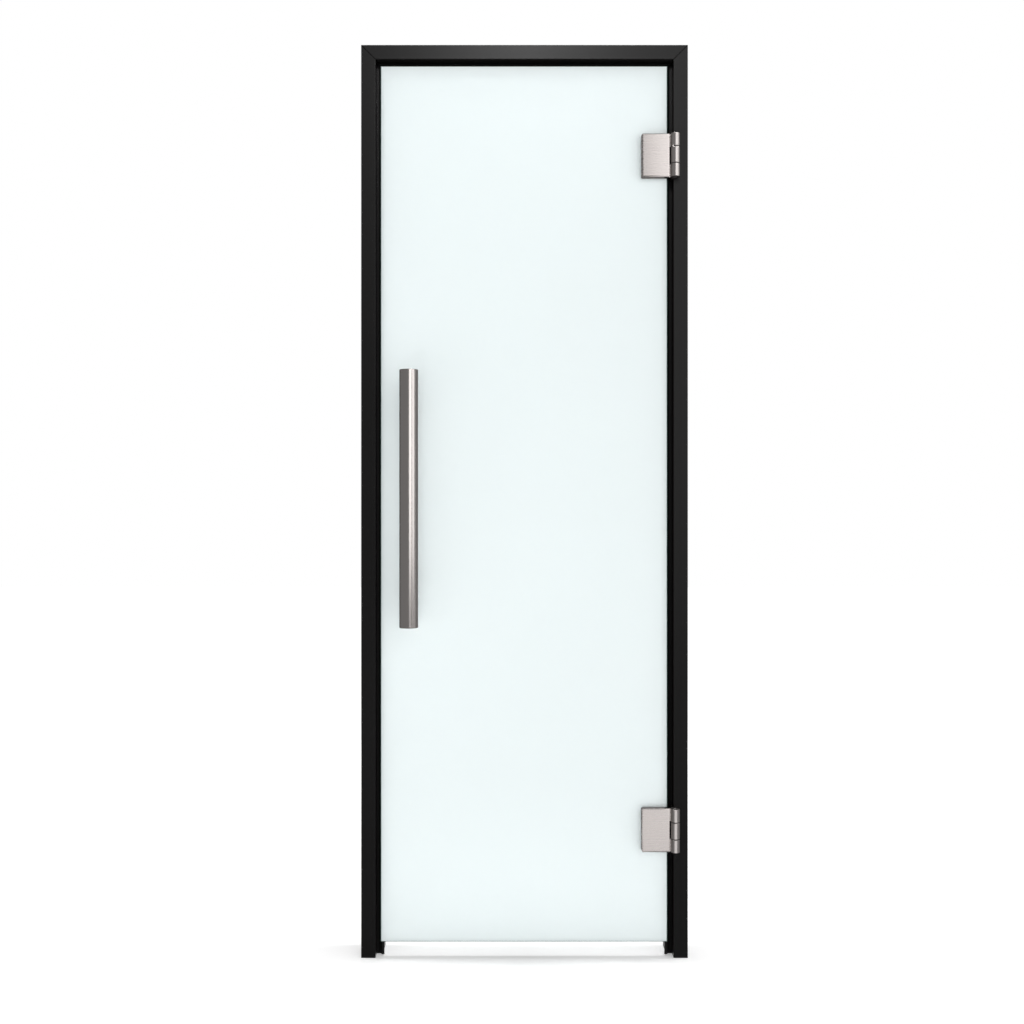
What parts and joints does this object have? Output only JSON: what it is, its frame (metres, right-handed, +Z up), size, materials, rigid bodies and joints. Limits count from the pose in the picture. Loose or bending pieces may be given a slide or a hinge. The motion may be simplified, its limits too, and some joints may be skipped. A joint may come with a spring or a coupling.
{
  "type": "glass door",
  "caption": "Hinged satin glass door leaf in a black three-sided aluminium frame, with barrel hinges, a vertical round pull handle on both faces and a gap above the floor.",
  "frame": {"origin": "on the floor, half way between the jambs, on the middle plane of the glass", "axes": "+X from the handle side to the hinge side, +Y from the front face to the back, +Z up"},
  "size_m": [0.68, 0.166, 1.9],
  "materials": {
    "frame_black": "satin black powder coat on extruded aluminium",
    "raw_aluminium": "mill finish",
    "satin_glass": "8 mm toughened glass, satin etched, pale",
    "seal_rubber": "black extruded rubber",
    "gasket_rubber": "black sheet rubber",
    "black_plastic": "black moulded plastic",
    "clear_nylon": "natural nylon",
    "fastener_steel": "plain stainless steel",
    "satin_hinge": "satin nickel, finely brushed",
    "brushed_bar": "stainless tube, brushed along its length"
  },
  "bodies": {
    "frame": {"strike_jamb": "frame_black", "hinge_jamb": "frame_black", "frame_head": "frame_black", "strike_corner_key": "raw_aluminium", "hinge_corner_key": "raw_aluminium", "corner_key_screws": "fastener_steel", "strike_foot": "black_plastic", "hinge_foot": "black_plastic", "fixing_caps": "black_plastic", "strike_seal": "seal_rubber", "hinge_seal": "seal_rubber", "head_seal": "seal_rubber", "upper_frame_leaf": "satin_hinge", "upper_backing_plate": "fastener_steel", "upper_leaf_screws": "fastener_steel", "upper_pin": "fastener_steel", "upper_washers": "black_plastic", "lower_frame_leaf": "satin_hinge", "lower_backing_plate": "fastener_steel", "lower_leaf_screws": "fastener_steel", "lower_pin": "fastener_steel", "lower_washers": "black_plastic"},
    "leaf": {"glass_pane": "satin_glass", "upper_front_plate": "satin_hinge", "upper_back_plate": "satin_hinge", "upper_front_gasket": "gasket_rubber", "upper_back_gasket": "gasket_rubber", "upper_clamp_screws": "fastener_steel", "upper_glass_sleeves": "clear_nylon", "lower_front_plate": "satin_hinge", "lower_back_plate": "satin_hinge", "lower_front_gasket": "gasket_rubber", "lower_back_gasket": "gasket_rubber", "lower_clamp_screws": "fastener_steel", "lower_glass_sleeves": "clear_nylon", "outer_handle_bar": "brushed_bar", "outer_handle_caps": "brushed_bar", "outer_handle_posts": "brushed_bar", "inner_handle_bar": "brushed_bar", "inner_handle_caps": "brushed_bar", "inner_handle_posts": "brushed_bar", "handle_studs": "fastener_steel", "handle_washers": "gasket_rubber", "handle_sleeves": "clear_nylon"}
  },
  "joints": [
    {"name": "leaf_swing", "type": "hinge", "parent": "frame", "child": "leaf", "pos_m": [0.3125, -0.019, 0.95], "axis": [0, 0, 1], "range_deg": [0, 165]}
  ]
}
